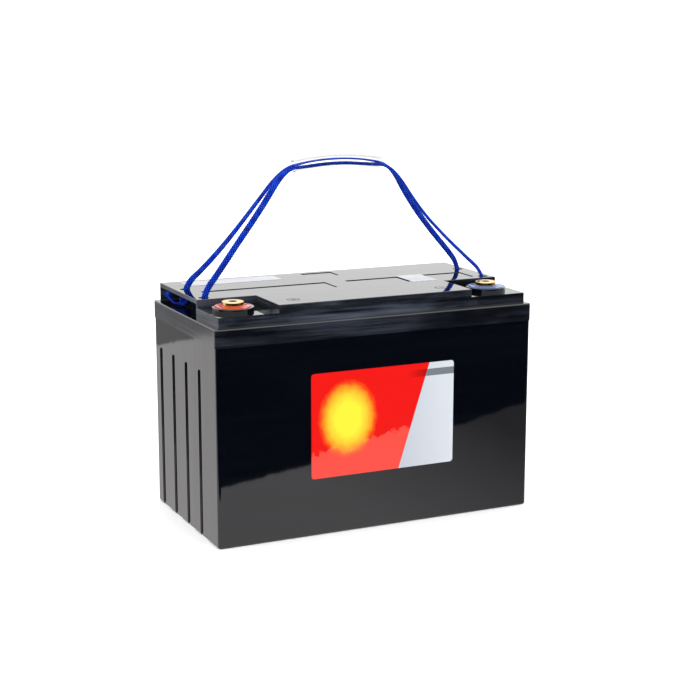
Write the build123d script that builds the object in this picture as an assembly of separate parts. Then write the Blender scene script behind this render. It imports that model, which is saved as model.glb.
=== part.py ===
from build123d import *
from math import pi, radians, tan
import os

os.makedirs("parts", exist_ok=True)

# A deep cycle battery: six lead-acid cells in one moulded case, with a two-rope carrying handle.
# Millimetres. +X runs along the long side, -Y is the front, +Z is up, and the origin is the
# middle of the base.

# Overall sizes
length = 328.0            # over the lid skirt
width = 172.0             # over the lid skirt
rim_z = 187.5             # where the lid skirt meets the case
deck_z = 204.5            # top of the lid skirt
plate_z = 222.0           # top of the cover plate
corner_r = 3.2            # upright corners of the lid skirt

# Case
skirt_lip = 0.6           # the lid skirt stands this far proud of the case
case_wall = 3.0
case_floor = 4.0
foot_fillet = 2.2
partition = 2.0
cells = 6
tongue = 1.4              # the case rim's tongue in the lid's groove
tongue_height = 4.0
glue_gap = 0.1
channel_width = 18.0      # upright channels in both end faces
channel_depth = 1.3
channel_pitch = 36.0
channel_count = 4
channel_top = 160.0
channel_corner = 3.0
channel_shift = 8.0       # the channel group sits this far behind the middle
gate_mark = (37.0, 157.0, 1.2, 0.5)   # x, z, radius and depth of the moulding mark in front

# Lid
deck = 4.0                # thickness of the lid's deck
rib = 2.0                 # the lid's ribs that meet the partitions
skirt_round = 1.2

# Cover: the raised platform on the lid
cover_inset = 5.2         # from the lid skirt to the cover
cover_plate = 4.0
cover_wall = 2.0
cover_corner = 1.0
edge_round = 0.5
recess_length = 58.8      # terminal recess, in from the end of the cover
recess_width = 55.8       # terminal recess, in from the front of the cover
recess_z = 214.5          # floor of each terminal recess
recess_floor = 3.0
pocket_depth = 24.8       # rope pocket, in from the end of the cover
mark_inset_x = 22.7       # polarity mark, in from the terminal recess
mark_inset_y = 20.3       # polarity mark, in from the front of the cover
mark_r = 6.2
mark_line = 1.1
mark_depth = 0.4

# Vents
vent_cover_start = 11.0   # inner end of each of the two vent covers
vent_cover_inset = 18.8   # outer end of a vent cover, in from the end of the cover
vent_cover_width = 31.0
vent_cover_thick = 1.6
vent_cover_y = 0.5
cover_sink = 0.6          # the vent covers lie this far below the cover plate's top
vent_gap = 0.3            # around a vent cover
arrestor_cover = (33.0, 22.0, 1.6)
arrestor_cover_x = 4.0
arrestor_cover_y = 61.0
arrestor_r = 7.0          # porous disc under the small cover
arrestor_height = 1.8
arrestor_seat = 1.2       # how deep the disc sits in the cover plate
chimney_r = 5.5
chimney_bore = 3.0
chimney_top = 216.5
valve_fit = 0.05          # radial, rubber cap on its chimney
valve_wall = 1.7
valve_skirt = 8.0
valve_lift = 0.8          # how far a cap can rise
valve_clear = 0.2         # between a fully lifted cap and the vent cover
valve_room = 1.2          # around a cap, in the cover
end_valve_shift = 13.0    # the end cells' valves sit this far in, clear of the rope pockets

# Rope handle
hole_inset = 9.8          # rope hole, in from the end of the cover
hole_rear_inset = 46.8    # rear rope hole, in from the rear of the cover
hole_front_gap = 8.0      # front rope hole, behind the terminal recess
hole_r = 5.0
rope_d = 4.6
knot_r = 5.8
knot_height = 9.5
knot_round = 3.0
knot_gap = 0.6            # the rope's slanted end clears its knot
grip_y = 8.5
grip_half = 47.0
grip_apex = 342.4
grip_bend = 228.0         # radius that the grip tube is arched to
grip_outer = 11.6
grip_inner = 9.8
strand_gap = 0.2          # between the two ropes inside the grip

# Terminals
terminal_inset_x = 25.8   # in from the end of the cover
terminal_inset_y = 30.8   # in from the front of the cover
terminal_top = 223.0
collar_r = 19.5
collar_height = 3.8
resin_r = 17.2
resin_depth = 0.9
brass_r = 10.1
brass_height = 6.4
shank_r = 6.0
shank_length = 11.0
thread_r = 4.0            # M8
thread_depth = 15.0
post_r = 8.0
post_gap = 0.3
cup_wall_gap = 0.05
ring_r = 11.0             # sealing ring under the collar
ring_section = 1.5

# Plates and straps
plate_foot = 2.0          # height of the ribs under the plates
rib_width = 3.0
plate_top = 160.0
positive_plate = 2.6
negative_plate = 1.8
positive_count = 6
negative_count = 7
stack_side = 1.2          # between the plates' edges and the case walls
stack_end = 1.2           # between a stack's outer plates and its cell's walls
mat_over = 2.0            # the mats stand this much above the plates
lug_width = 12.0
lug_height = 10.0
lug_y = 50.0
strap_width = 18.0
strap_height = 7.0
weld_r = 6.5
weld_z = 177.0

# Labels
front_label = (149.5, 100.5, 0.25)
front_label_x = 4.0
front_label_z = 105.5
front_label_corner = 3.0
rear_label = (99.0, 24.5, 0.15)
rear_label_inset_x = 17.8     # in from the end of the cover
rear_label_inset_y = 7.35     # in from the rear of the cover
side_label = (28.0, 40.0, 0.15)
side_label_inset = 61.8       # in from the end of the cover
side_label_y = 0.8
label_corner = 1.0

# Worked out
case_length = length - 2 * skirt_lip
case_width = width - 2 * skirt_lip
inner_length = case_length - 2 * case_wall
inner_width = case_width - 2 * case_wall
cell_length = (inner_length - (cells - 1) * partition) / cells
cover_length = length - 2 * cover_inset
cover_width = width - 2 * cover_inset
end_x = cover_length / 2
front_y = -cover_width / 2
rear_y = cover_width / 2
recess_x = end_x - recess_length
recess_y = front_y + recess_width
mark_x = recess_x - mark_inset_x
mark_y = front_y + mark_inset_y
terminal_x = end_x - terminal_inset_x
terminal_y = front_y + terminal_inset_y
hole_x = end_x - hole_inset
hole_front_y = recess_y + hole_front_gap
hole_rear_y = rear_y - hole_rear_inset
pocket_x = end_x - pocket_depth
pocket_top = plate_z - cover_plate
stack_length = cell_length - 2 * stack_end
metal_length = positive_count * positive_plate + negative_count * negative_plate
separator = (stack_length - metal_length) / (positive_count + negative_count - 1)
plate_bottom = case_floor + plate_foot
strap_z = plate_top + lug_height
collar_top = recess_z + collar_height
case_front = -case_width / 2
vent_cover_length = end_x - vent_cover_inset - vent_cover_start
vent_cover_x = vent_cover_start + vent_cover_length / 2
vent_cover = (vent_cover_length, vent_cover_width, vent_cover_thick)
rear_label_x = rear_label_inset_x + rear_label[0] / 2 - end_x
rear_label_y = rear_y - rear_label_inset_y - rear_label[1] / 2
side_label_x = end_x - side_label_inset - side_label[0] / 2
valve_roof = plate_z - vent_cover_thick - valve_clear - valve_lift - chimney_top
valve_r = chimney_r + valve_fit + valve_wall


def block(x0, x1, y0, y1, z0, z1):
    """A box between two corners."""
    middle = Pos((x0 + x1) / 2, (y0 + y1) / 2, (z0 + z1) / 2)
    return middle * Box(x1 - x0, y1 - y0, z1 - z0)


def slab(size_x, size_y, radius, z0, z1):
    """A block with rounded upright corners, centred on the battery."""
    return Pos(0, 0, z0) * extrude(RectangleRounded(size_x, size_y, radius), z1 - z0)


def tablet(x, y, size, radius, z0, z1):
    """A small block with rounded upright corners, centred on x and y."""
    return Pos(x, y, z0) * extrude(RectangleRounded(size[0], size[1], radius), z1 - z0)


def rod(x, y, radius, z0, z1):
    """An upright cylinder."""
    return Pos(x, y, (z0 + z1) / 2) * Cylinder(radius, z1 - z0)


def cell_x(cell):
    """The middle of a cell, counted from 0 at the left."""
    return -inner_length / 2 + cell * (cell_length + partition) + cell_length / 2


def partition_x(wall):
    """The middle of the wall between a cell and the next one."""
    return cell_x(wall) + (cell_length + partition) / 2


def lug_side(cell, polarity):
    """Which side of the cell, +1 rear or -1 front, carries the lugs of a polarity."""
    odd = cell % 2 == 0
    return -polarity if odd else polarity


def weld_side(wall):
    """Which side the weld through a partition is on: the negative lugs of the cell before it."""
    return lug_side(wall, -1)


def save(name, solids):
    """Writes one sub-part, as one solid or as a group of separate solids."""
    shape = solids[0] if len(solids) == 1 else Compound(children=list(solids))
    shape.label = name
    export_step(shape, f"parts/{name}.step")


# Case and lid

def end_channels():
    """Upright channels with round top corners that run out at the base, in both ends."""
    tall = channel_top + channel_corner
    outline = Plane.YZ * RectangleRounded(channel_width, tall, channel_corner)
    flat = Pos(0, 0, channel_top - tall / 2) * extrude(outline, channel_depth, both=True)
    plan = RectangleRounded(2 * channel_depth, channel_width, channel_depth * 0.6)
    channel = flat & (Pos(0, 0, -channel_corner) * extrude(plan, tall))
    cutters = []
    for side in (-1, 1):
        for n in range(channel_count):
            y = channel_shift + (n - (channel_count - 1) / 2) * channel_pitch
            cutters.append(Pos(side * case_length / 2, y, 0) * channel)
    return cutters


def make_case():
    case = slab(case_length, case_width, corner_r - skirt_lip / 2, 0, rim_z)
    case = fillet(case.faces().sort_by(Axis.Z)[0].edges(), foot_fillet)
    groove_side = (case_wall - tongue) / 2
    rim = slab(
        case_length - 2 * groove_side,
        case_width - 2 * groove_side,
        corner_r - skirt_lip / 2 - groove_side,
        rim_z,
        rim_z + tongue_height,
    )
    case += rim
    inside = slab(inner_length, inner_width, 1.0, case_floor, rim_z)
    mouth = slab(
        case_length - 2 * (groove_side + tongue),
        case_width - 2 * (groove_side + tongue),
        1.0,
        rim_z,
        rim_z + tongue_height,
    )
    case -= inside + mouth
    for wall in range(cells - 1):
        x = partition_x(wall)
        half = inner_width / 2 + 0.5
        sheet = block(x - partition / 2, x + partition / 2, -half, half, case_floor - 0.5, rim_z)
        y = weld_side(wall) * lug_y
        bore = Pos(x, y, weld_z) * Rot(0, 90, 0) * Cylinder(weld_r, partition * 3)
        case += sheet - bore
    for side in (-1, 1):
        y = side * inner_width / 4
        reach = inner_length / 2 + 0.5
        edge = rib_width / 2
        case += block(-reach, reach, y - edge, y + edge, case_floor - 0.5, plate_bottom)
    for cutter in end_channels():
        case -= cutter
    x, z, radius, depth = gate_mark
    case -= Pos(x, case_front, z) * Rot(90, 0, 0) * Cylinder(radius, 2 * depth)
    return case


def valve_places():
    """The middle of each relief valve, from the left."""
    places = [(cell_x(cell), vent_cover_y) for cell in range(cells)]
    places[0] = (cell_x(0) + end_valve_shift, vent_cover_y)
    places[-1] = (cell_x(cells - 1) - end_valve_shift, vent_cover_y)
    return places


def make_lid():
    lid = slab(length, width, corner_r, rim_z, deck_z)
    lid = fillet(lid.faces().sort_by(Axis.Z)[-1].edges(), skirt_round)
    lid -= slab(inner_length, inner_width, 1.0, rim_z, deck_z - deck)
    groove_side = (case_wall - tongue) / 2 - glue_gap
    wide = slab(
        case_length - 2 * groove_side,
        case_width - 2 * groove_side,
        corner_r - skirt_lip / 2 - groove_side,
        rim_z,
        rim_z + tongue_height + glue_gap,
    )
    inner_side = (case_wall - tongue) / 2 + tongue + glue_gap
    core = slab(
        case_length - 2 * inner_side,
        case_width - 2 * inner_side,
        1.0,
        rim_z,
        rim_z + tongue_height + glue_gap,
    )
    lid -= wide - core
    for wall in range(cells - 1):
        x = partition_x(wall)
        half = inner_width / 2 + 0.3
        lid += block(x - rib / 2, x + rib / 2, -half, half, rim_z, deck_z - deck + 0.5)
    for x, y in valve_places():
        lid += rod(x, y, chimney_r, deck_z - 0.5, chimney_top)
        lid -= rod(x, y, chimney_bore, deck_z - deck - 1, chimney_top + 1)
    for side in (-1, 1):
        lid -= rod(side * terminal_x, terminal_y, post_r + post_gap, deck_z - deck - 1, deck_z + 1)
    return lid


def terminal_recess(side):
    """The corner that is open to the front and to one end."""
    far = side * (end_x + 5)
    near = side * recess_x
    return block(min(near, far), max(near, far), front_y - 5, recess_y, recess_z, plate_z + 5)


def rope_pocket(side):
    """The undercut behind a terminal recess, open at the end, where the knots sit."""
    far = side * (end_x + 5)
    near = side * pocket_x
    rear = rear_y - cover_wall
    return block(min(near, far), max(near, far), recess_y + cover_wall, rear, deck_z, pocket_top)


def cover_hollow():
    """The room under the cover plate, around the rope pockets and under the recess floors."""
    rear = rear_y - cover_wall
    front = front_y + cover_wall
    below = recess_z - recess_floor
    inner = recess_x - cover_wall
    middle = block(-inner, inner, front, rear, deck_z, pocket_top)
    wide = pocket_x - cover_wall
    middle += block(-wide, wide, recess_y + cover_wall, rear, deck_z, pocket_top)
    low = end_x - cover_wall
    middle += block(-low, low, front, recess_y, deck_z, below)
    return middle


def polarity_mark(side):
    """A ring with a bar, and with a second bar across it on the positive side."""
    z0 = plate_z - mark_depth
    mark = rod(0, 0, mark_r, z0, plate_z + 1) - rod(0, 0, mark_r - mark_line, z0, plate_z + 1)
    arm = mark_r * 0.55
    bar = block(-arm, arm, -mark_line / 2, mark_line / 2, z0, plate_z + 1)
    mark += bar
    if side < 0:
        mark += block(-mark_line / 2, mark_line / 2, -arm, arm, z0, plate_z + 1)
    return Pos(side * mark_x, mark_y, 0) * mark


def vent_seat(x, y, size):
    """The shallow seat that a flush cover lies in."""
    seat = (size[0] + 2 * vent_gap, size[1] + 2 * vent_gap)
    return tablet(x, y, seat, 1.0 + vent_gap, plate_z - size[2], plate_z + 1)


def make_cover():
    cover = slab(cover_length, cover_width, cover_corner, deck_z, plate_z)
    cover -= cover_hollow()
    for side in (-1, 1):
        cover -= terminal_recess(side)
        cover -= rope_pocket(side)
    rims = cover.faces().sort_by(Axis.Z)[-1].edges()
    cover = fillet(rims, edge_round)
    for side in (-1, 1):
        floor_hole = post_r + post_gap
        cover -= rod(side * terminal_x, terminal_y, floor_hole, deck_z, recess_z + 1)
        cover -= polarity_mark(side)
        cover -= vent_seat(side * vent_cover_x, vent_cover_y, vent_cover)
        for y in (hole_front_y, hole_rear_y):
            hole = rod(side * hole_x, y, hole_r, pocket_top - 1, plate_z + 1)
            cover -= hole
    for x, y in valve_places():
        cover -= rod(x, y, valve_r + valve_room, pocket_top - 1, plate_z)
    cover -= vent_seat(arrestor_cover_x, arrestor_cover_y, arrestor_cover)
    seat = plate_z - arrestor_cover[2]
    cover -= rod(arrestor_cover_x, arrestor_cover_y, arrestor_r - 2, pocket_top - 1, seat + 1)
    bore = arrestor_r + glue_gap
    cover -= rod(arrestor_cover_x, arrestor_cover_y, bore, seat - arrestor_seat, seat + 1)
    return cover


# Vents

def make_vent_cover(side):
    x = side * vent_cover_x
    top = plate_z - cover_sink
    plate = tablet(x, vent_cover_y, vent_cover, 1.0, plate_z - vent_cover[2], top)
    front = vent_cover_y - vent_cover[1] / 2
    return plate - block(x - 3, x + 3, front - 1, front + 0.8, top - 0.5, top + 1)


def make_arrestor_cover():
    under = plate_z - arrestor_cover[2]
    top = plate_z - cover_sink
    plate = tablet(arrestor_cover_x, arrestor_cover_y, arrestor_cover, 1.0, under, top)
    disc_top = under - arrestor_seat + arrestor_height
    return plate - rod(arrestor_cover_x, arrestor_cover_y, arrestor_r + 0.5, under - 1, disc_top)


def make_arrestor():
    """The porous disc that gas leaves through."""
    bottom = plate_z - arrestor_cover[2] - arrestor_seat
    return rod(arrestor_cover_x, arrestor_cover_y, arrestor_r, bottom, bottom + arrestor_height)


def make_valve(x, y):
    """A rubber cap that closes its chimney and lifts when gas pushes it."""
    cap = rod(x, y, valve_r, chimney_top - valve_skirt, chimney_top + valve_roof)
    cap = fillet(cap.edges().sort_by(Axis.Z)[-1], 0.8)
    return cap - rod(x, y, chimney_r + valve_fit, chimney_top - valve_skirt - 1, chimney_top)


# Terminals

def make_collar(side):
    x = side * terminal_x
    collar = rod(x, terminal_y, collar_r, recess_z, collar_top)
    collar = fillet(collar.edges().sort_by(Axis.Z)[-1], 0.5)
    collar -= rod(x, terminal_y, resin_r, collar_top - resin_depth, collar_top + 1)
    brass_foot = terminal_top - brass_height
    collar -= rod(x, terminal_y, brass_r + cup_wall_gap, brass_foot, collar_top + 1)
    collar -= rod(x, terminal_y, post_r + post_gap, recess_z - 1, collar_top)
    half = ring_section / 2
    groove = rod(x, terminal_y, ring_r + half, recess_z - 1, recess_z + ring_section)
    collar -= groove - rod(x, terminal_y, ring_r - half, recess_z - 1, recess_z + ring_section)
    return collar


def make_ring(side):
    x = side * terminal_x
    return Pos(x, terminal_y, recess_z + ring_section / 2) * Torus(ring_r, ring_section / 2)


def make_resin(side):
    x = side * terminal_x
    disc = rod(x, terminal_y, resin_r, collar_top - resin_depth, collar_top)
    return disc - rod(x, terminal_y, brass_r, collar_top - resin_depth - 1, collar_top + 1)


def make_terminal(side):
    """A brass bush with an M8 thread, moulded on the lead post."""
    x = side * terminal_x
    foot = terminal_top - brass_height
    head = rod(x, terminal_y, brass_r, foot, terminal_top)
    head = chamfer(head.edges().sort_by(Axis.Z)[-1], 0.5)
    bush = head + rod(x, terminal_y, shank_r, foot - shank_length, foot)
    bore = rod(x, terminal_y, thread_r, terminal_top - thread_depth, terminal_top + 1)
    return bush - bore


# Plates and straps

def plate_stack(cell):
    """Yields each plate's polarity and left face, from the left: the outer plates are negative."""
    x = cell_x(cell) - stack_length / 2
    for n in range(positive_count + negative_count):
        polarity = -1 if n % 2 == 0 else 1
        thick = positive_plate if polarity > 0 else negative_plate
        yield polarity, x, x + thick
        x += thick + separator


def make_plates(cell, polarity):
    half = inner_width / 2 - stack_side
    y = lug_side(cell, polarity) * lug_y
    plates = []
    for kind, x0, x1 in plate_stack(cell):
        if kind == polarity:
            grid = block(x0, x1, -half, half, plate_bottom, plate_top)
            lug = block(x0, x1, y - lug_width / 2, y + lug_width / 2, plate_top - 0.5, strap_z)
            plates.append(grid + lug)
    return plates


def make_separators(cell):
    half = inner_width / 2 - stack_side / 2
    mats = []
    last = None
    for _, x0, x1 in plate_stack(cell):
        if last is not None:
            mats.append(block(last, x0, -half, half, plate_bottom, plate_top + mat_over))
        last = x1
    return mats


def make_strap(cell, side):
    x = cell_x(cell)
    y = side * lug_y
    half = stack_length / 2
    edge = strap_width / 2
    return block(x - half, x + half, y - edge, y + edge, strap_z, strap_z + strap_height)


def make_connector(wall):
    """Two straps and the weld that joins them through a partition."""
    side = weld_side(wall)
    x = partition_x(wall)
    reach = (cell_length - stack_length) / 2 + partition / 2
    link = make_strap(wall, side) + make_strap(wall + 1, side)
    y = side * lug_y
    edge = strap_width / 2
    for way in (-1, 1):
        x0 = x + way * partition / 2
        x1 = x + way * (reach + 4)
        link += block(min(x0, x1), max(x0, x1), y - edge, y + edge, strap_z, weld_z + weld_r + 1.5)
    return link + Pos(x, y, weld_z) * Rot(0, 90, 0) * Cylinder(weld_r, partition)


def make_post(cell, side):
    """The end strap and the lead post that carries the brass bush in a cup at its top."""
    polarity = 1 if cell == 0 else -1
    x = side * terminal_x
    strap = make_strap(cell, lug_side(cell, polarity))
    foot = terminal_top - brass_height
    post = rod(x, terminal_y, post_r, strap_z, foot)
    cup = rod(x, terminal_y, shank_r + cup_wall_gap, foot - shank_length, foot + 1)
    return strap + post - cup


# Labels

def make_front_label():
    sheet = RectangleRounded(front_label[0], front_label[1], front_label_corner)
    face = Plane(origin=(front_label_x, case_front, front_label_z), x_dir=(1, 0, 0), z_dir=(0, -1, 0))
    return extrude(face * sheet, front_label[2])


def make_top_label(x, y, size):
    return tablet(x, y, size, label_corner, plate_z, plate_z + size[2])


# Rope handle

def grip_height(x):
    """Height of the grip tube's centre line along its arch."""
    return grip_apex - x * x / (2 * grip_bend)


grip_corners = [-33.0, -11.0, 11.0, 33.0]


def corner_radii(points):
    """The largest tangent arc that the runs beside each corner allow."""
    radii = []
    for before, here, after in zip(points, points[1:], points[2:]):
        run_in = Vector(*here) - Vector(*before)
        run_out = Vector(*after) - Vector(*here)
        turn = run_in.get_angle(run_out)
        shorter = min(run_in.length, run_out.length)
        radii.append(0.45 * shorter / tan(radians(turn / 2)))
    return radii


def cord_path(points):
    return FilletPolyline(*points, radius=corner_radii(points))


def swept(points, profile):
    path = cord_path(points)
    section = Plane(origin=path @ 0, z_dir=path % 0) * profile
    return sweep(section, path=path), path


def grip_points():
    xs = [-grip_half] + grip_corners + [grip_half]
    return [(x, grip_y, grip_height(x)) for x in xs]


def rope_points(hole_y, strand_y, left, right):
    """From the left knot up to the grip, through it, and down to the right knot."""
    foot = pocket_top + knot_gap
    points = [(-hole_x, hole_y, foot)] + left
    points += [(x, strand_y, grip_height(x)) for x in grip_corners]
    return points + right + [(hole_x, hole_y, foot)]


strand_y = rope_d / 2 + strand_gap / 2
rear_strand = grip_y + strand_y
front_strand = grip_y - strand_y
rear_route = rope_points(
    hole_rear_y,
    rear_strand,
    [
        (-146.5, 33.4, 228.5),
        (-133.5, 30.6, 240.0),
        (-112.0, 25.4, 263.5),
        (-86.0, 18.9, 297.0),
        (-58.0, rear_strand, 335.3),
    ],
    [
        (57.5, rear_strand, 335.2),
        (85.0, 18.9, 296.0),
        (111.0, 25.0, 266.5),
        (134.5, 30.2, 243.0),
        (146.8, 33.2, 229.0),
    ],
)
front_route = rope_points(
    hole_front_y,
    front_strand,
    [
        (-147.0, -16.4, 228.0),
        (-133.5, -13.0, 242.5),
        (-112.5, -7.8, 267.5),
        (-85.5, -1.4, 298.3),
        (-57.0, front_strand, 335.4),
    ],
    [
        (57.0, front_strand, 335.4),
        (84.0, -2.8, 291.5),
        (109.5, -8.5, 263.5),
        (133.5, -13.4, 240.5),
        (146.6, -16.5, 228.0),
    ],
)


def make_rope(name, route):
    rope, path = swept(route, Circle(rope_d / 2))
    expected = path.length * pi * rope_d**2 / 4
    print(name, "length", round(path.length, 1))
    print(name, "volume over section times length", round(rope.volume / expected, 5))
    print(name, "radii", [round(r) for r in corner_radii(route)])
    return rope


def make_grip():
    tube, _ = swept(grip_points(), Circle(grip_outer / 2) - Circle(grip_inner / 2))
    return tube


def make_knots():
    """A stopper knot under the cover plate at each of the four rope ends."""
    knots = []
    for side in (-1, 1):
        for y in (hole_front_y, hole_rear_y):
            knot = rod(side * hole_x, y, knot_r, pocket_top - knot_height, pocket_top)
            knots.append(fillet(knot.edges().sort_by(Axis.Z)[0], knot_round))
    return knots


save("case", [make_case()])
save("lid", [make_lid()])
save("cover", [make_cover()])
save("vent_cover_left", [make_vent_cover(-1)])
save("vent_cover_right", [make_vent_cover(1)])
save("arrestor_cover", [make_arrestor_cover()])
save("flame_arrestor", [make_arrestor()])
for number, (valve_x, valve_y) in enumerate(valve_places(), start=1):
    save(f"relief_valve_{number}", [make_valve(valve_x, valve_y)])
for cell in range(cells):
    save(f"positive_plates_cell_{cell + 1}", make_plates(cell, 1))
    save(f"negative_plates_cell_{cell + 1}", make_plates(cell, -1))
    save(f"separator_mats_cell_{cell + 1}", make_separators(cell))
for wall in range(cells - 1):
    save(f"cell_connector_{wall + 1}_{wall + 2}", [make_connector(wall)])
for word, side, cell in (("positive", -1, 0), ("negative", 1, cells - 1)):
    save(f"{word}_post", [make_post(cell, side)])
    save(f"{word}_terminal", [make_terminal(side)])
    save(f"{word}_collar", [make_collar(side)])
    save(f"{word}_resin_seal", [make_resin(side)])
    save(f"{word}_sealing_ring", [make_ring(side)])
save("rope_front", [make_rope("rope_front", front_route)])
save("rope_rear", [make_rope("rope_rear", rear_route)])
save("rope_knots", make_knots())
save("handle_grip", [make_grip()])
save("front_label", [make_front_label()])
save("rear_top_label", [make_top_label(rear_label_x, rear_label_y, rear_label)])
save("side_top_label", [make_top_label(side_label_x, side_label_y, side_label)])
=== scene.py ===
import math
import random

import bpy
import numpy as np
from mathutils import Matrix, Vector


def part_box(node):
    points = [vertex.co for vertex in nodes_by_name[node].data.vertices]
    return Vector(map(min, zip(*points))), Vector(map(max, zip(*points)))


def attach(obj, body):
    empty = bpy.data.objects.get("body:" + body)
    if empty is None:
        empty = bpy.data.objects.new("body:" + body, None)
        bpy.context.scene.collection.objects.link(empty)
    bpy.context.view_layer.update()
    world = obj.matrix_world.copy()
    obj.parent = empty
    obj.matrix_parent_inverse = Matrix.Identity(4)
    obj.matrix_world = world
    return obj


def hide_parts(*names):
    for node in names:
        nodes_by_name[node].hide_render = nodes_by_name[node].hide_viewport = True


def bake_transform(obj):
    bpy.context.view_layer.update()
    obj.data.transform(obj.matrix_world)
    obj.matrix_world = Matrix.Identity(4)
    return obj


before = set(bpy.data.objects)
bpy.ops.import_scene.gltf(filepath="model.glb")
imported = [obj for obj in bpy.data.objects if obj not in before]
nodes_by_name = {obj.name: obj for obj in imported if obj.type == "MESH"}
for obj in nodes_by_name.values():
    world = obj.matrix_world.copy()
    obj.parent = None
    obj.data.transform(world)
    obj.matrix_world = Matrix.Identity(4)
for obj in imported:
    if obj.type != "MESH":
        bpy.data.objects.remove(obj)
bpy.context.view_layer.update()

# The looks of a deep cycle battery: a glossy black case with a red and silver label, brass
# terminals in coloured resin, and two braided blue ropes through a clear grip tube.

MM = 0.001

# Camera
camera_azimuth = math.radians(-25.44)
camera_elevation = math.radians(11.97)
camera_roll = math.radians(0.11)
camera_distance = 1.5326
camera_target = Vector((0.0093, 0.0, 0.1551))
camera_lens = 79.78
camera_sensor = 36.0

# Studio
sky_strength = 1.4               # near the horizon
zenith_strength = 2.4
floor_half = 4.0
card_height = 0.001
table_corner = Vector((-0.101, -0.258, card_height))    # on the bright floor's front edge
table_edge_angle = math.radians(-20.2)
card_reach = 3.0                 # how far the front cards run to each side and away
table_depth = 0.9
side_card_x = -0.1636            # just under the left end
side_card_y = (-0.3, 3.5)

# Rope
rope_half_width = 2.5 * MM       # to the middle of its strands
rope_half_thick = 1.0 * MM
strand_half_width = 0.68 * MM
strand_half_thick = 0.42 * MM
strand_wave = 0.34 * MM          # how far a strand rides over and under the others
strands_each_way = 6
braid_pitch = 17.0 * MM
braid_step = 0.5 * MM
twist_soften = 61                # braid steps over which a change of twist is spread
core_sides = 12
core_across = 0.95               # the core under the strands, as shares of the braid's half sizes
core_up = 0.85
strand_sides = 5

# Resin round each terminal
ring_middle = 13.7 * MM
ring_half = 3.6 * MM
ring_rise = 0.7 * MM             # how far the resin is drawn up at its edges
ring_gap = 0.1 * MM              # the resin starts this far inside the brass
ring_sides = 96
ring_steps = 18
ring_lift = 0.15                 # in millimetres over the CAD seal: all over,
rim_lift = 0.25                  # at the collar,
brass_lift = 1.05                # and at the brass


def add_camera():
    """A camera that looks down a little from the left of the front."""
    back = Vector((
        math.sin(camera_azimuth) * math.cos(camera_elevation),
        -math.cos(camera_azimuth) * math.cos(camera_elevation),
        math.sin(camera_elevation),
    ))
    data = bpy.data.cameras.new("camera")
    data.lens = camera_lens
    data.sensor_width = camera_sensor
    data.clip_end = 50
    camera = bpy.data.objects.new("camera", data)
    camera.location = camera_target + back * camera_distance
    turn = (-back).to_track_quat("-Z", "Y") @ Matrix.Rotation(camera_roll, 4, "Z").to_quaternion()
    camera.rotation_euler = turn.to_euler()
    bpy.context.scene.collection.objects.link(camera)
    bpy.context.scene.camera = camera


add_camera()


# Meshes

def mesh_object(name, vertices, faces, smooth=True, lift=None):
    """An object from vertices and faces. Lift says how far out of the weave each vertex lies, which
    sets the rope's painted shade.
    """
    mesh = bpy.data.meshes.new(name)
    mesh.from_pydata([tuple(v) for v in vertices], [], [tuple(f) for f in faces])
    if smooth:
        mesh.shade_smooth()
    if lift is not None:
        mesh.attributes.new("lift", "FLOAT", "POINT").data.foreach_set("value", lift)
    made = bpy.data.objects.new(name, mesh)
    bpy.context.scene.collection.objects.link(made)
    return made


def route_line(points):
    """The NURBS line that a route's points control, in metres."""
    curve = bpy.data.curves.new("route", "CURVE")
    curve.dimensions = "3D"
    curve.resolution_u = 32
    spline = curve.splines.new("NURBS")
    spline.points.add(len(points) - 1)
    for point, spot in zip(spline.points, points):
        point.co = (spot[0] * MM, spot[1] * MM, spot[2] * MM, 1.0)
    spline.order_u = 3
    spline.use_endpoint_u = True
    holder = bpy.data.objects.new("route", curve)
    bpy.context.scene.collection.objects.link(holder)
    bpy.context.view_layer.update()
    mesh = bpy.data.meshes.new_from_object(holder)
    line = np.array([v.co[:] for v in mesh.vertices])
    bpy.data.meshes.remove(mesh)
    bpy.data.objects.remove(holder)
    return line


def evenly(line, step):
    """Points about a step apart along a line, and how far along it each one is."""
    runs = np.linalg.norm(np.diff(line, axis=0), axis=1)
    along = np.concatenate([[0.0], np.cumsum(runs)])
    places = np.linspace(0.0, along[-1], int(along[-1] / step) + 1)
    points = np.stack([np.interp(places, along, line[:, k]) for k in range(3)], axis=1)
    return points, places


def unit(rows):
    return rows / np.linalg.norm(rows, axis=1, keepdims=True)


def tube_faces(rings, sides, start):
    """Quads between rings of vertices, with a cap at each end."""
    faces = []
    for ring in range(rings - 1):
        for side in range(sides):
            here = start + ring * sides + side
            beside = start + ring * sides + (side + 1) % sides
            faces.append((here, beside, beside + sides, here + sides))
    last = start + (rings - 1) * sides
    faces.append(tuple(start + side for side in reversed(range(sides))))
    faces.append(tuple(last + side for side in range(sides)))
    return faces


def sweep_section(line, across, up, half_across, half_up, sides):
    """Rings of an oval section along a line."""
    angles = np.arange(sides) * 2 * math.pi / sides
    wide = np.cos(angles)[None, :, None] * across[:, None, :] * half_across
    high = np.sin(angles)[None, :, None] * up[:, None, :] * half_up
    return (line[:, None, :] + wide + high).reshape(-1, 3)


def soft_steps(values):
    """Values with their corners rounded off."""
    window = np.hanning(twist_soften)
    padded = np.pad(values, twist_soften // 2, mode="edge")
    return np.convolve(padded, window / window.sum(), mode="valid")


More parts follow.
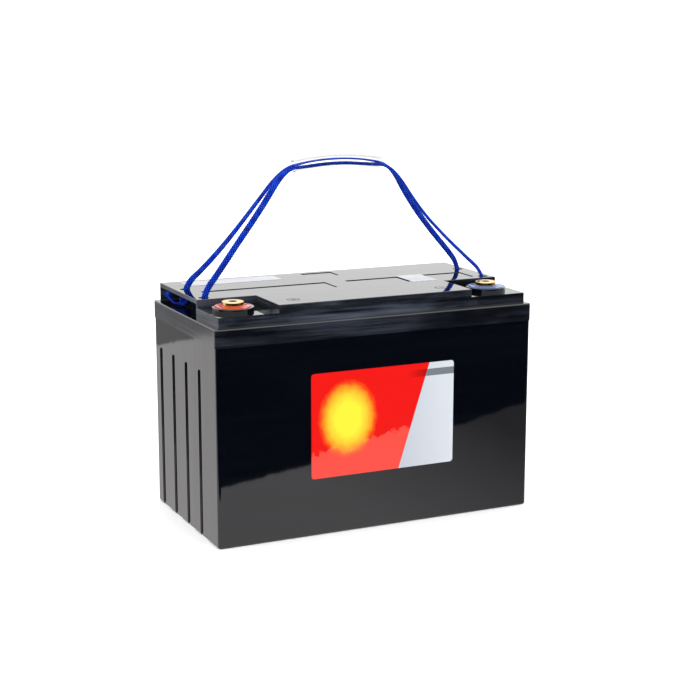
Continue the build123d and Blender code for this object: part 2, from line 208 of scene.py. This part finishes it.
def braid(line, twist):
    """Vertices and faces of a flat braid along a line, with its middle line and each vertex's lift.
    Twist gives shares of the line's length, with the turn of the wide side there in degrees from
    the depth direction, and how thick the braid is there."""
    points, along = evenly(line, braid_step)
    tangent = unit(np.gradient(points, axis=0))
    depth = np.array([0.0, 1.0, 0.0]) - tangent * tangent[:, 1:2]
    depth = unit(depth)
    rise = np.cross(tangent, depth)
    share = along / along[-1]
    shares, turns, plumps = zip(*twist)
    turn = soft_steps(np.radians(np.interp(share, shares, turns)))
    plump = soft_steps(np.interp(share, shares, plumps))
    wide = depth * np.cos(turn)[:, None] + rise * np.sin(turn)[:, None]
    thin = np.cross(tangent, wide)
    half_thick = (rope_half_thick * plump)[:, None]
    core_half = rope_half_width * core_across
    vertices = [sweep_section(points, wide, thin * half_thick, core_half, core_up, core_sides)]
    faces = tube_faces(len(points), core_sides, 0)
    count = len(points) * core_sides
    # The core gets no lift, so the rope material paints it in its deepest shade.
    lift = [np.zeros(count)]
    crown = 0.75 + 0.25 * np.sin(np.arange(strand_sides) * 2 * math.pi / strand_sides)
    phase = 2 * math.pi * along / braid_pitch
    for way in (-1, 1):
        for number in range(strands_each_way):
            angle = 2 * math.pi * number / strands_each_way + way * phase
            outward = unit(
                wide * (np.cos(angle) / rope_half_width)[:, None]
                + thin * np.sin(angle)[:, None] / half_thick
            )
            over = way * np.cos(strands_each_way * phase)
            centre = (
                points
                + wide * (rope_half_width * np.cos(angle))[:, None]
                + thin * half_thick * np.sin(angle)[:, None]
                + outward * (strand_wave * over)[:, None]
            )
            flat = unit(np.cross(unit(np.gradient(centre, axis=0)), outward))
            strand = sweep_section(
                centre, flat, outward, strand_half_width, strand_half_thick, strand_sides
            )
            vertices.append(strand)
            # Lift sets the painted shade: a strand is drawn darker where it dips under the others.
            lift.append(((0.5 + 0.5 * over)[:, None] * crown[None, :]).ravel())
            faces += tube_faces(len(points), strand_sides, count)
            count += len(strand)
    return np.concatenate(vertices), faces, points, np.concatenate(lift)


# Ropes, with their routes in millimetres

hole_x = 149.0                   # the four rope holes in the cover
rear_hole_y = 34.0
front_hole_y = -17.0
foot_z = 218.6                   # where each rope meets its knot's neck
grip_corners = (-33.0, -11.0, 11.0, 33.0)
grip_top = 342.4
grip_arch = 456.0                # twice the radius of the grip's arch
rear_strand = (9.6, 1.0)         # depth in the grip, and height over the grip's centre line
front_strand = (8.0, -3.1)


def grip_height(x):
    """Height of the grip tube's centre line along its arch."""
    return grip_top - x * x / grip_arch


def rope_route(hole_y, left, strand, right):
    """From the left knot up to the grip, through it, and down to the right knot."""
    depth, over = strand
    middle = [(x, depth, grip_height(x) + over) for x in grip_corners]
    return [(-hole_x, hole_y, foot_z)] + left + middle + right + [(hole_x, hole_y, foot_z)]


rear_route = rope_route(
    rear_hole_y,
    [
        (-146.5, 33.4, 228.5),
        (-133.5, 30.6, 240.0),
        (-112.0, 25.4, 263.5),
        (-86.0, 18.9, 297.0),
        (-58.0, 10.9, 335.3),
    ],
    rear_strand,
    [
        (57.5, 10.9, 335.2),
        (85.0, 18.9, 296.0),
        (111.0, 25.0, 266.5),
        (134.5, 30.2, 243.0),
        (146.8, 33.2, 229.0),
    ],
)
front_route = rope_route(
    front_hole_y,
    [
        (-147.0, -16.4, 228.0),
        (-133.5, -13.0, 242.5),
        (-112.5, -7.8, 267.5),
        (-85.5, -1.4, 298.3),
        (-57.0, 6.1, 335.4),
    ],
    front_strand,
    [
        (57.0, 6.1, 335.4),
        (84.0, -2.8, 291.5),
        (109.5, -8.5, 263.5),
        (133.5, -13.4, 240.5),
        (146.6, -16.5, 228.0),
    ],
)
# Share of the rope's length, turn of its wide side in degrees, thickness
rear_twist = (
    (0.0, 60, 1.0),
    (0.06, 35, 1.0),
    (0.2, 15, 1.0),
    (0.38, 0, 0.8),
    (0.42, 0, 0.35),
    (0.58, 0, 0.35),
    (0.62, 0, 0.9),
    (0.7, 85, 1.2),
    (0.93, 80, 1.2),
    (1.0, 60, 1.2),
)
front_twist = (
    (0.0, 90, 1.1),
    (0.1, 80, 1.1),
    (0.15, 40, 1.0),
    (0.2, 85, 1.1),
    (0.3, 60, 1.1),
    (0.38, 0, 1.0),
    (0.62, 0, 1.0),
    (0.8, 15, 1.0),
    (1.0, 40, 1.0),
)


def make_rope(name, route, twist):
    """A braided rope in place of the CAD one, and the line it follows."""
    vertices, faces, path, lift = braid(route_line(route), twist)
    rope = mesh_object(name, vertices, faces, lift=lift)
    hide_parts(name.removesuffix("_braid"))
    return rope, path


# Resin

def lathe(centre, profile):
    """A closed ring from its section, given as radius and height."""
    vertices = []
    for radius, height in profile:
        for side in range(ring_sides):
            angle = 2 * math.pi * side / ring_sides
            x = centre.x + radius * math.cos(angle)
            y = centre.y + radius * math.sin(angle)
            vertices.append((x, y, height))
    faces = []
    for step in range(len(profile)):
        here = step * ring_sides
        after = (step + 1) % len(profile) * ring_sides
        for side in range(ring_sides):
            beside = (side + 1) % ring_sides
            faces.append((here + side, after + side, after + beside, here + beside))
    return vertices, faces


def make_resin(word):
    """The resin round a terminal, with the rise where it wets the brass."""
    node = f"{word}_resin_seal"
    low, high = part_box(node)
    outer = (high.x - low.x) / 2
    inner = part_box(f"{word}_terminal")[1].x - (low.x + high.x) / 2 - ring_gap
    profile = [(inner, low.z), (outer, low.z)]
    for step in range(ring_steps + 1):
        share = step / ring_steps
        rim = rim_lift * (1 - share) ** 6
        rise = (ring_lift + rim + brass_lift * share ** 1.6) * MM
        profile.append((outer + (inner - outer) * share, high.z + rise))
    vertices, faces = lathe((low + high) / 2, profile)
    made = mesh_object(f"{word}_resin", vertices, faces)
    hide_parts(node)
    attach(made, "block")
    return made


resins = {word: make_resin(word) for word in ("positive", "negative")}


# Knots

pocket_top = 218.0
knot_middle = 211.2
knot_radius = 4.1 * MM
neck_top = 219.4                 # where the knot's neck meets the rope in its hole
knot_size = 0.62                 # the knotted rope is pulled this much thinner
knot_depth = 0.62                # how far its crossings rise, as a share of its radius
knot_points = 240
weave_step = 0.35 * MM
weave_turn = 2.6 * MM
weave_swell = 0.09
weave_sides = 16
pocket_floor = 205.0
filament = 0.16 * MM
filament_sides = 3
filament_points = 9
chance = random.Random(7)


def knot_line(x, y):
    """The overhand knot's trefoil, lying level under the hole."""
    t = np.linspace(0, 2 * math.pi, knot_points)
    scale = knot_radius / 3.0
    across = (np.sin(t) + 2 * np.sin(2 * t)) * scale
    deep = (np.cos(t) - 2 * np.cos(2 * t)) * scale
    up = -np.sin(3 * t) * knot_radius * knot_depth
    return np.stack([x * MM + across, y * MM + deep, knot_middle * MM + up], axis=1)


def closed_rope(line, half_width, half_thick):
    """An oval tube with the braid's weave in its surface, for a tightly pulled knot."""
    points, along = evenly(line, weave_step)
    tangent = unit(np.gradient(points, axis=0))
    across = unit(np.cross(tangent, np.array([0.05, 0.02, 1.0])))
    up = np.cross(across, tangent)
    angles = np.arange(weave_sides) * 2 * math.pi / weave_sides
    turns = along[:, None] * 2 * math.pi / weave_turn
    weave = np.cos(4 * angles[None, :] + turns) * np.cos(4 * angles[None, :] - turns)
    swell = 1 + weave_swell * weave
    wide = (np.cos(angles)[None, :] * swell)[:, :, None] * across[:, None, :] * half_width
    high = (np.sin(angles)[None, :] * swell)[:, :, None] * up[:, None, :] * half_thick
    ring = (points[:, None, :] + wide + high).reshape(-1, 3)
    # The weave's pattern is also returned as lift, which sets the painted shade on the knots.
    return ring, tube_faces(len(points), weave_sides, 0), (0.5 + 0.5 * weave).ravel()


def scattered(middles, widths):
    """A random offset with a middle and a width along each axis."""
    return np.array([chance.gauss(middle, width) for middle, width in zip(middles, widths)])


def tuft(root, tip, count, fan):
    """Loose filaments from a rope's cut end, fanning out from root towards tip."""
    vertices = []
    faces = []
    root = np.array(root) * MM
    tip = np.array(tip) * MM
    for _ in range(count):
        end = tip + scattered((0, 0, 0), (1, 1, 0.8)) * fan * MM
        start = root + scattered((0, 0, 0), (0.7, 0.7, 0.7)) * MM
        sway = scattered((0, 0, 0.5), (1, 1, 1)) * 0.6 * fan * MM
        share = np.linspace(0, 1, filament_points)[:, None] * chance.uniform(0.6, 1.0)
        line = start + (end - start) * share + sway * np.sin(share * math.pi)
        line = np.minimum(line, np.array([1, 1, (pocket_top - 0.4) * MM]))
        line = np.maximum(line, np.array([-1, -1, pocket_floor * MM]))
        tangent = unit(np.gradient(line, axis=0))
        across = unit(np.cross(tangent, np.array([0.31, 0.22, 0.93])))
        up = np.cross(across, tangent)
        begun = sum(len(v) for v in vertices)
        vertices.append(sweep_section(line, across, up, filament, filament, filament_sides))
        faces += tube_faces(len(line), filament_sides, begun)
    vertices = np.concatenate(vertices)
    return vertices, faces, np.full(len(vertices), 0.8)


def joined(parts):
    """One list of vertices, faces and lifts from several."""
    vertices = []
    faces = []
    lift = []
    count = 0
    for points, quads, heights in parts:
        vertices.append(points)
        lift.append(heights)
        faces += [tuple(corner + count for corner in face) for face in quads]
        count += len(points)
    return np.concatenate(vertices), faces, np.concatenate(lift)


def make_knot(name, x, y, tail):
    """An overhand knot under the cover plate, with a short tail that ends in a frayed tuft."""
    side = math.copysign(1, x)
    knot = closed_rope(knot_line(x, y), rope_half_width * knot_size, rope_half_thick * 1.4)
    neck_line = route_line([(x, y, knot_middle), (x, y, knot_middle + 4), (x, y, neck_top)])
    neck = closed_rope(neck_line, rope_half_width * 0.9, rope_half_thick * 1.4)
    tail_line = route_line([(x, y, knot_middle)] + tail)
    tail_rope = closed_rope(tail_line, rope_half_width * 0.8, rope_half_thick * 1.1)
    end = tail[-1]
    before = tail[-2]
    ahead = [end[k] + (end[k] - before[k]) * 0.9 for k in range(3)]
    fray = tuft(end, ahead, 90, 1.6)
    stub = tuft((x, y, knot_middle - 1), (x + side * 3, y + 4, 207.5), 60, 1.8)
    vertices, faces, lift = joined([knot, neck, tail_rope, fray, stub])
    made = mesh_object(name, vertices, faces, lift=lift)
    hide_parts("rope_knots")
    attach(made, "block")
    return made


knots = {}
for name, x, y, tail in (
    (
        "knot_rear_left", -hole_x, rear_hole_y,
        [(-152.0, 41.0, 207.2), (-155.5, 47.0, 206.6), (-156.2, 54.0, 209.5), (-156.0, 61.0, 211.5)],
    ),
    (
        "knot_front_left", -hole_x, front_hole_y,
        [(-148.0, -9.0, 210.0), (-147.0, -2.0, 208.0), (-145.0, 5.0, 208.0)],
    ),
    (
        "knot_rear_right", hole_x, rear_hole_y,
        [(150.0, 42.0, 210.0), (152.0, 50.0, 208.0), (153.5, 57.0, 208.5)],
    ),
    (
        "knot_front_right", hole_x, front_hole_y,
        [(150.0, -9.0, 209.0), (152.0, -1.0, 208.0), (153.0, 6.0, 210.0)],
    ),
):
    knots[name] = make_knot(name, x, y, tail)

rope_rear, rear_path = make_rope("rope_rear_braid", rear_route, rear_twist)
rope_front, front_path = make_rope("rope_front_braid", front_route, front_twist)
for row, rope, path in (("rear", rope_rear, rear_path), ("front", rope_front, front_path)):
    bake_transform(rope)


# Materials

deep_black = (0.0010, 0.0014, 0.0026)


def material(name):
    """A new material, with its nodes and its main shader."""
    made = bpy.data.materials.new(name)
    made.use_nodes = True
    return made, made.node_tree, made.node_tree.nodes["Principled BSDF"]


def place(tree, scale=(1, 1, 1), origin=(0, 0, 0)):
    """Object coordinates in metres, moved to an origin and scaled."""
    coordinates = tree.nodes.new("ShaderNodeTexCoord")
    mapping = tree.nodes.new("ShaderNodeMapping")
    mapping.inputs["Scale"].default_value = scale
    mapping.inputs["Location"].default_value = [-o * s for o, s in zip(origin, scale)]
    tree.links.new(coordinates.outputs["Object"], mapping.inputs["Vector"])
    return mapping.outputs["Vector"]


def noise(tree, vector, scale, detail=3.0, roughness=0.5):
    node = tree.nodes.new("ShaderNodeTexNoise")
    node.inputs["Scale"].default_value = scale
    node.inputs["Detail"].default_value = detail
    node.inputs["Roughness"].default_value = roughness
    tree.links.new(vector, node.inputs["Vector"])
    return node.outputs["Fac"]


def spread(tree, value, low, high, from_low=0.3, from_high=0.7):
    """A value between low and high."""
    node = tree.nodes.new("ShaderNodeMapRange")
    node.inputs["From Min"].default_value = from_low
    node.inputs["From Max"].default_value = from_high
    node.inputs["To Min"].default_value = low
    node.inputs["To Max"].default_value = high
    tree.links.new(value, node.inputs["Value"])
    return node.outputs["Result"]


def math_node(tree, operation, a, b=None, c=None):
    node = tree.nodes.new("ShaderNodeMath")
    node.operation = operation
    for socket, value in zip(node.inputs, (a, b, c)):
        if value is None:
            continue
        if isinstance(value, (int, float)):
            socket.default_value = value
        else:
            tree.links.new(value, socket)
    return node.outputs["Value"]


def blend_colours(tree, factor, a, b):
    """A colour between a and b. Each is a colour or another node's output."""
    node = tree.nodes.new("ShaderNodeMix")
    node.data_type = "RGBA"
    tree.links.new(factor, node.inputs[0])
    for socket, value in ((node.inputs[6], a), (node.inputs[7], b)):
        if isinstance(value, tuple):
            socket.default_value = (*value, 1.0)
        else:
            tree.links.new(value, socket)
    return node.outputs[2]


def bump(tree, shader, height, strength, distance):
    node = tree.nodes.new("ShaderNodeBump")
    node.inputs["Strength"].default_value = strength
    node.inputs["Distance"].default_value = distance
    tree.links.new(height, node.inputs["Height"])
    tree.links.new(node.outputs["Normal"], shader.inputs["Normal"])


def axes_of(tree, vector):
    node = tree.nodes.new("ShaderNodeSeparateXYZ")
    tree.links.new(vector, node.inputs["Vector"])
    return node.outputs["X"], node.outputs["Y"], node.outputs["Z"]


def black_plastic(name, top_roughness, side_roughness, wave, painted_sheen_colour):
    """Moulded black plastic: polished on top, with faint flow streaks and a painted sheen in patches
    on its upright sides.
    """
    made, tree, shader = material(name)
    geometry = tree.nodes.new("ShaderNodeNewGeometry")
    _, _, facing_up = axes_of(tree, geometry.outputs["Normal"])
    upright = spread(tree, math_node(tree, "ABSOLUTE", facing_up), 1.0, 0.0, 0.2, 0.9)
    smudge = noise(tree, place(tree), 22.0, 4.0, 0.6)
    streak = noise(tree, place(tree, (8, 8, 260)), 1.0, 5.0, 0.65)
    side = spread(tree, streak, side_roughness * 0.8, side_roughness * 1.25)
    top = spread(tree, smudge, top_roughness * 0.7, top_roughness * 1.6)
    mixed = tree.nodes.new("ShaderNodeMix")
    tree.links.new(upright, mixed.inputs[0])
    tree.links.new(top, mixed.inputs[2])
    tree.links.new(side, mixed.inputs[3])
    tree.links.new(mixed.outputs[0], shader.inputs["Roughness"])
    # Painted sheen: upright sides are coloured lighter and bluer in streaky patches, standing in for
    # reflections.
    painted_sheen_patches = spread(tree, noise(tree, place(tree, (9, 9, 34)), 1.0, 3.0, 0.5), 0.15, 1.0, 0.42, 0.60)
    painted_sheen_patches = math_node(tree, "MULTIPLY", painted_sheen_patches, spread(tree, streak, 0.1, 1.0, 0.35, 0.62))
    tint = math_node(tree, "MULTIPLY", upright, painted_sheen_patches)
    tree.links.new(blend_colours(tree, tint, deep_black, painted_sheen_colour), shader.inputs["Base Color"])
    slow = noise(tree, place(tree), 14.0, 2.0, 0.4)
    flute = noise(tree, place(tree, (42, 42, 3)), 1.0, 2.0, 0.5)
    slow = math_node(tree, "MULTIPLY_ADD", flute, 0.5, slow)
    fine = noise(tree, place(tree), 700.0, 2.0, 0.5)
    height = math_node(tree, "MULTIPLY_ADD", fine, 0.012, slow)
    bump(tree, shader, height, 1.0, wave)
    shader.inputs["IOR"].default_value = 1.58
    return made


def turned_brass(name, centre):
    """Lathe-turned brass: fine rings about the terminal's axis and a warm tarnish in patches."""
    made, tree, shader = material(name)
    local = place(tree, origin=centre)
    wave = tree.nodes.new("ShaderNodeTexWave")
    wave.wave_type = "RINGS"
    wave.rings_direction = "Z"
    wave.inputs["Scale"].default_value = 900.0
    wave.inputs["Distortion"].default_value = 0.6
    tree.links.new(local, wave.inputs["Vector"])
    patch = noise(tree, local, 260.0, 4.0, 0.6)
    colour = blend_colours(tree, patch, (0.80, 0.50, 0.17), (0.60, 0.34, 0.09))
    tree.links.new(colour, shader.inputs["Base Color"])
    tree.links.new(spread(tree, patch, 0.08, 0.18), shader.inputs["Roughness"])
    shader.inputs["Metallic"].default_value = 1.0
    bump(tree, shader, wave.outputs["Fac"], 0.25, 0.00004)
    return made


def potting_resin(name, colour, dark, centre):
    """Poured epoxy: saturated and glossy, drawn up where it meets the brass and the collar."""
    made, tree, shader = material(name)
    local = place(tree, origin=centre)
    cloud = noise(tree, local, 160.0, 3.0, 0.5)
    tree.links.new(blend_colours(tree, cloud, colour, dark), shader.inputs["Base Color"])
    tree.links.new(spread(tree, cloud, 0.05, 0.13), shader.inputs["Roughness"])
    x, y, _ = axes_of(tree, local)
    squares = math_node(tree, "MULTIPLY_ADD", x, x, math_node(tree, "MULTIPLY", y, y))
    away = math_node(tree, "SQRT", squares)
    off_middle = math_node(tree, "DIVIDE", math_node(tree, "SUBTRACT", away, ring_middle), ring_half)
    ripple = math_node(tree, "MULTIPLY", cloud, 0.1)
    dish = math_node(tree, "MULTIPLY_ADD", off_middle, off_middle, ripple)
    bump(tree, shader, dish, 1.0, ring_rise)
    return made


def rope_fibre():
    """Bright blue polypropylene yarn, with painted light where a strand crosses over and painted
    shade down in the weave.
    """
    made, tree, shader = material("rope_fibre")
    weave = tree.nodes.new("ShaderNodeAttribute")
    weave.attribute_name = "lift"
    fibre = noise(tree, place(tree), 2600.0, 2.0, 0.6)
    dye = noise(tree, place(tree), 180.0, 3.0, 0.5)
    # Painted shade and light: each vertex's lift darkens the blue down in the weave and lightens it
    # where strands cross over.
    painted_weave_shade = spread(tree, weave.outputs["Fac"], 0.0, 0.9, 0.4, 1.0)
    shade = math_node(tree, "ADD", painted_weave_shade, spread(tree, dye, -0.15, 0.15))
    shade = math_node(tree, "MULTIPLY_ADD", fibre, 0.15, shade)
    rising = spread(tree, shade, 0, 1, 0.05, 0.5)
    low = blend_colours(tree, rising, (0.0, 0.0005, 0.04), (0.0, 0.010, 0.33))
    colour = blend_colours(tree, spread(tree, shade, 0, 1, 0.5, 0.95), low, (0.015, 0.12, 0.85))
    tree.links.new(colour, shader.inputs["Base Color"])
    tree.links.new(spread(tree, fibre, 0.45, 0.65), shader.inputs["Roughness"])
    shader.inputs["IOR"].default_value = 1.15
    bump(tree, shader, fibre, 0.6, 0.0001)
    return made


def clear_vinyl():
    """Soft clear tube with faint cloudiness, and painted shade that makes its wall greyer where it is
    seen edge on.
    """
    made, tree, shader = material("clear_vinyl")
    cloud = noise(tree, place(tree, (30, 120, 120)), 1.0, 3.0, 0.5)
    tree.links.new(spread(tree, cloud, 0.02, 0.08), shader.inputs["Roughness"])
    edge = tree.nodes.new("ShaderNodeLayerWeight")
    edge.inputs["Blend"].default_value = 0.5
    # Painted shade: the tube's colour turns grey where its wall is seen edge on.
    turned = spread(tree, edge.outputs["Facing"], 0.0, 1.0, 0.12, 0.42)
    turned = math_node(tree, "MULTIPLY", turned, spread(tree, cloud, 0.85, 1.0))
    tint = blend_colours(tree, turned, (0.97, 0.97, 0.97), (0.60, 0.60, 0.59))
    tree.links.new(tint, shader.inputs["Base Color"])
    shader.inputs["Transmission Weight"].default_value = 1.0
    shader.inputs["IOR"].default_value = 1.2
    bump(tree, shader, cloud, 0.2, 0.0003)
    return made


def grained(name, light, dark, scale, low, high, stretch=(1, 1, 1), depth=0.0001, metallic=0.0):
    """A plain material with a grain: two tones, uneven gloss and a fine relief."""
    made, tree, shader = material(name)
    grain = noise(tree, place(tree, stretch), scale, 4.0, 0.6)
    tree.links.new(blend_colours(tree, grain, light, dark), shader.inputs["Base Color"])
    tree.links.new(spread(tree, grain, low, high), shader.inputs["Roughness"])
    shader.inputs["Metallic"].default_value = metallic
    bump(tree, shader, grain, 0.4, depth)
    return made


# The front label's print, placed from the middle of the label in millimetres
split_top = 48.3                 # where the silver field begins, at the label's top and bottom edges
split_bottom = 16.0
band_low = 37.3                  # the grey band in the top right corner
band_high = 44.1
band_start = 25.0
glow_x = -37.3
glow_z = 4.5
glow_reach = 37.0
glow_narrow = 1.5                # the glow is taller than it is wide: square of the ratio
band_fade = 22.0


def label_print():
    """Fields of red, salmon and silver with a warm glow, as printed on a glossy film."""
    made, tree, shader = material("label_print")
    low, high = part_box("front_label")
    middle = (low + high) / 2
    local = place(tree, (1000, 1000, 1000), middle)
    x, _, z = axes_of(tree, local)
    half = (high.z - low.z) * 500
    lean = (split_top - split_bottom) / (2 * half)
    split = math_node(tree, "MULTIPLY_ADD", z, lean, (split_top + split_bottom) / 2)
    past_split = math_node(tree, "SUBTRACT", x, split)
    silver = spread(tree, past_split, 0.0, 1.0, -0.15, 0.15)
    rough_edge = noise(tree, local, 0.12, 6.0, 0.65)
    torn = math_node(tree, "MULTIPLY_ADD", rough_edge, 22.0, z)
    torn = math_node(tree, "MULTIPLY_ADD", x, -0.16, torn)
    salmon = spread(tree, torn, 1.0, 0.0, -4.5, -3.0)
    mottle = noise(tree, local, 0.5, 3.0, 0.5)
    red = blend_colours(tree, mottle, (0.66, 0.003, 0.001), (0.56, 0.002, 0.001))
    pale = blend_colours(tree, mottle, (0.72, 0.062, 0.044), (0.64, 0.046, 0.034))
    field = blend_colours(tree, salmon, red, pale)
    glow_dx = math_node(tree, "SUBTRACT", x, glow_x)
    glow_dz = math_node(tree, "SUBTRACT", z, glow_z)
    span = math_node(tree, "MULTIPLY", math_node(tree, "MULTIPLY", glow_dx, glow_dx), glow_narrow)
    span = math_node(tree, "SQRT", math_node(tree, "MULTIPLY_ADD", glow_dz, glow_dz, span))
    span = math_node(tree, "MULTIPLY_ADD", rough_edge, 9.0, span)
    orange = spread(tree, span, 1.0, 0.0, glow_reach * 0.75, glow_reach * 1.15)
    yellow = spread(tree, span, 1.0, 0.0, glow_reach * 0.55, glow_reach * 1.05)
    field = blend_colours(tree, orange, field, (0.85, 0.20, 0.005))
    field = blend_colours(tree, yellow, field, (0.88, 0.62, 0.03))
    sheen = spread(tree, x, 0.0, 1.0, 20.0, 75.0)
    metal = blend_colours(tree, sheen, (0.40, 0.43, 0.48), (0.50, 0.53, 0.57))
    field = blend_colours(tree, silver, field, metal)
    over = spread(tree, z, 0.0, 1.0, band_low - 0.1, band_low + 0.1)
    under = spread(tree, z, 1.0, 0.0, band_high - 0.1, band_high + 0.1)
    begun = spread(tree, x, 0.0, 1.0, band_start, band_start + band_fade)
    band = math_node(tree, "MULTIPLY", math_node(tree, "MULTIPLY", over, under), begun)
    band_colour = blend_colours(tree, silver, (0.30, 0.0, 0.0), (0.13, 0.15, 0.17))
    field = blend_colours(tree, band, field, band_colour)
    tree.links.new(field, shader.inputs["Base Color"])
    tree.links.new(spread(tree, mottle, 0.16, 0.26), shader.inputs["Roughness"])
    shader.inputs["IOR"].default_value = 1.28
    bump(tree, shader, mottle, 0.1, 0.0001)
    return made


def paint(names, made):
    """Gives CAD nodes a material."""
    for name in names:
        data = nodes_by_name[name].data
        data.materials.clear()
        data.materials.append(made)


def named(prefix):
    """The CAD nodes whose names start this way."""
    return [name for name in nodes_by_name if name.startswith(prefix)]


# The last colour given to each black plastic is its painted sheen: brightest on the cover, fainter on
# the lid, barely there on the case.
paint(["case"], black_plastic("case_plastic", 0.05, 0.045, 0.00035, (0.0016, 0.0022, 0.0040)))
paint(["lid"], black_plastic("lid_plastic", 0.06, 0.12, 0.0002, (0.022, 0.025, 0.035)))
paint(["cover"], black_plastic("cover_plastic", 0.035, 0.13, 0.0002, (0.070, 0.082, 0.112)))
small_black = black_plastic("small_cover_plastic", 0.04, 0.1, 0.0002, (0.003, 0.004, 0.007))
paint(named("vent_cover") + ["arrestor_cover"], small_black)
collar_black = black_plastic("collar_plastic", 0.05, 0.07, 0.0001, (0.002, 0.002, 0.004))
paint(["positive_collar", "negative_collar"], collar_black)
for word in ("positive", "negative"):
    low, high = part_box(f"{word}_terminal")
    paint([f"{word}_terminal"], turned_brass(f"{word}_brass", (low + high) / 2))
for word, colour, dark in (
    ("positive", (0.42, 0.002, 0.001), (0.30, 0.0, 0.0)),
    ("negative", (0.002, 0.08, 0.28), (0.0, 0.05, 0.19)),
):
    low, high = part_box(f"{word}_resin_seal")
    made = potting_resin(f"{word}_resin", colour, dark, (low + high) / 2)
    paint([f"{word}_resin_seal"], made)
    resins[word].data.materials.append(made)
rubber = grained("black_rubber", (0.02, 0.02, 0.02), (0.01, 0.01, 0.01), 500.0, 0.5, 0.8)
paint(["positive_sealing_ring", "negative_sealing_ring"] + named("relief_valve"), rubber)
lead = grained("cast_lead", (0.22, 0.23, 0.25), (0.12, 0.13, 0.15), 240.0, 0.35, 0.6, metallic=0.8)
paint(named("cell_connector") + ["positive_post", "negative_post"] + named("negative_plates"), lead)
oxide = grained("lead_oxide", (0.16, 0.07, 0.035), (0.08, 0.035, 0.02), 420.0, 0.6, 0.9)
paint(named("positive_plates"), oxide)
mat = grained("glass_mat", (0.75, 0.74, 0.70), (0.55, 0.54, 0.50), 900.0, 0.7, 0.95, (1, 1, 0.2))
paint(named("separator_mats"), mat)
porous = grained("porous_disc", (0.70, 0.70, 0.68), (0.45, 0.45, 0.43), 1600.0, 0.7, 0.95)
paint(["flame_arrestor"], porous)
film = grained("white_film", (0.34, 0.35, 0.38), (0.28, 0.29, 0.32), 60.0, 0.2, 0.36)
paint(["rear_top_label", "side_top_label"], film)
paint(["front_label"], label_print())
paint(["handle_grip"], clear_vinyl())
blue_fibre = rope_fibre()
for rope in (rope_rear, rope_front, *knots.values()):
    rope.data.materials.append(blue_fibre)


# Studio

def glow(name, colour, strengths, axis, start, end):
    """A stage card's own light, changing steadily from start to end along an axis."""
    made = bpy.data.materials.new(name)
    made.use_nodes = True
    tree = made.node_tree
    tree.nodes.clear()
    output = tree.nodes.new("ShaderNodeOutputMaterial")
    light = tree.nodes.new("ShaderNodeEmission")
    light.inputs["Color"].default_value = (*colour, 1.0)
    along = axes_of(tree, place(tree))[axis]
    tree.links.new(spread(tree, along, *strengths, start, end), light.inputs["Strength"])
    tree.links.new(light.outputs["Emission"], output.inputs["Surface"])
    return made


def card(name, corners, colour, strengths, axis, start, end):
    """A card that shows only in reflections."""
    made = mesh_object(name, corners, [range(len(corners))], smooth=False)
    made.data.materials.append(glow(name, colour, strengths, axis, start, end))
    made.visible_camera = False
    made.visible_diffuse = False
    made.visible_transmission = False
    made.visible_shadow = False
    return made


def make_floor():
    """The plain pale floor."""
    corners = [(x * floor_half, y * floor_half, 0.0) for x, y in ((-1, -1), (1, -1), (1, 1), (-1, 1))]
    floor = mesh_object("floor", corners, [(0, 1, 2, 3)], smooth=False)
    paint_coat = grained("floor_paint", (0.86, 0.86, 0.86), (0.84, 0.84, 0.84), 3.0, 0.7, 0.9)
    floor.data.materials.append(paint_coat)


def make_front_cards():
    """The table's edge crosses in front: a lit strip this side of it and a dark room past it."""
    edge = Vector((math.cos(table_edge_angle), math.sin(table_edge_angle), 0))
    away = Vector((edge.y, -edge.x, 0))
    left = table_corner - edge * card_reach
    right = table_corner + edge * card_reach
    room = [left, right, right + away * card_reach, left + away * card_reach]
    card("dark_room", room, (0.3, 0.45, 1.0), (0.02, 0.02), 0, 0, 1)
    table = [left, right, right - away * table_depth, left - away * table_depth]
    card("table_top", table, (1.0, 0.97, 0.98), (1.15, 0.3), 0, 0.0, 0.3)


def make_side_card():
    """The shaded floor to the left that the left end mirrors."""
    near, far = side_card_y
    z = card_height / 2
    outer = -card_reach
    corners = [(outer, near, z), (side_card_x, near, z), (side_card_x, far, z), (outer, far, z)]
    card("side_floor", corners, (1.0, 1.0, 1.0), (0.2, 0.42), 1, -0.1, 0.9)


def make_sky():
    """Even white light, brighter overhead."""
    world = bpy.data.worlds.new("sky")
    bpy.context.scene.world = world
    world.use_nodes = True
    tree = world.node_tree
    background = tree.nodes["Background"]
    background.inputs["Color"].default_value = (1.0, 1.0, 1.0, 1.0)
    coordinates = tree.nodes.new("ShaderNodeTexCoord")
    _, _, height = axes_of(tree, coordinates.outputs["Generated"])
    overhead = spread(tree, height, sky_strength, zenith_strength, 0.35, 0.9)
    tree.links.new(overhead, background.inputs["Strength"])


make_floor()
make_front_cards()
make_side_card()
make_sky()
bpy.context.scene.view_settings.view_transform = "Standard"
